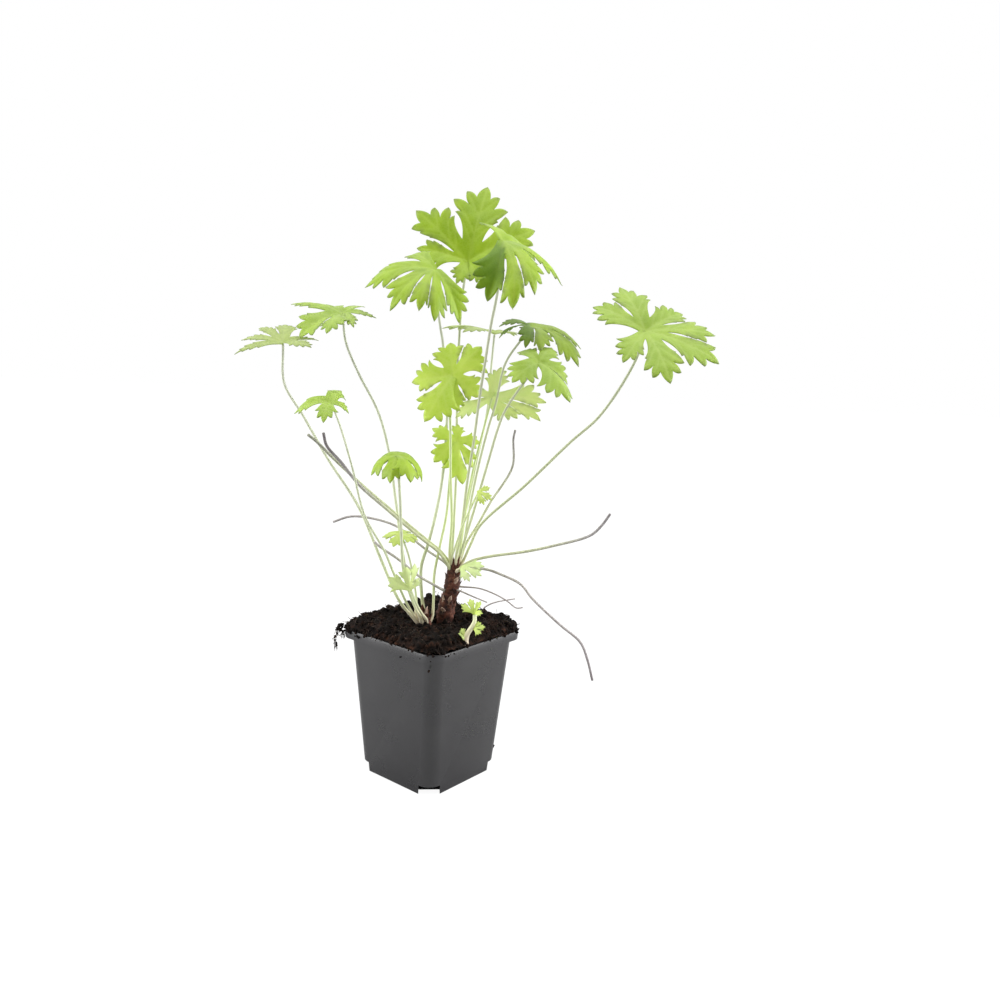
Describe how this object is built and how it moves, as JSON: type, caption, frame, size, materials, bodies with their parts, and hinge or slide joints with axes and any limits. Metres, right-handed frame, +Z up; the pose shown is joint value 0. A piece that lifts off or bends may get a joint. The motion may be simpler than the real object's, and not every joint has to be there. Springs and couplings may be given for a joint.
{
  "type": "potted hardy geranium",
  "caption": "Hardy geranium in a square nursery pot: lobed, toothed green leaves on long thin stalks that rise from a woody crown in dark soil.",
  "frame": {"origin": "middle of the pot's base, on the surface that it stands on", "axes": "+Z up through the pot and the plant; -Y is the front, where a corner of the pot points, and +X is to the right"},
  "size_m": [0.3072, 0.135, 0.4091],
  "materials": {
    "pot_plastic": "satin",
    "soil": "matte",
    "rootstock": "matte",
    "leaf": "satin",
    "stalk": "satin",
    "dry_stalk": "matte",
    "root": "matte"
  },
  "bodies": {
    "root": {"pot": "pot_plastic", "soil": "soil", "crown": "rootstock", "side_shoot": "rootstock", "leaf_far_left": "leaf", "leaf_left_back": "leaf", "leaf_left_small": "leaf", "leaf_left_umbrella": "leaf", "leaf_low_left": "leaf", "leaf_upper_left": "leaf", "leaf_low_centre": "leaf", "leaf_folded": "leaf", "leaf_top": "leaf", "leaf_top_right": "leaf", "leaf_right_dark": "leaf", "leaf_right_front": "leaf", "leaf_centre": "leaf", "leaf_pale_back": "leaf", "leaf_edge_back": "leaf", "leaf_low_right": "leaf", "leaf_far_right": "leaf", "leaf_beside_crown": "leaf", "seedling_leaf": "leaf", "petiole_far_left": "stalk", "petiole_left_back": "stalk", "petiole_left_small": "stalk", "petiole_left_umbrella": "stalk", "petiole_low_left": "stalk", "petiole_upper_left": "stalk", "petiole_low_centre": "stalk", "petiole_folded": "stalk", "petiole_top": "stalk", "petiole_top_right": "stalk", "petiole_right_dark": "stalk", "petiole_right_front": "stalk", "petiole_centre": "stalk", "petiole_pale_back": "stalk", "petiole_edge_back": "stalk", "petiole_low_right": "stalk", "petiole_far_right": "stalk", "petiole_beside_crown": "stalk", "seedling_stem": "stalk", "cut_petiole_long_right": "dry_stalk", "cut_petiole_hanging": "dry_stalk", "cut_petiole_upright": "dry_stalk", "cut_petiole_left_dark": "dry_stalk", "cut_petiole_left_pale": "dry_stalk", "cut_petiole_left_low": "dry_stalk", "cut_petiole_left_short": "dry_stalk", "root_long": "root", "root_short": "root", "root_in_soil": "root"}
  },
  "joints": []
}
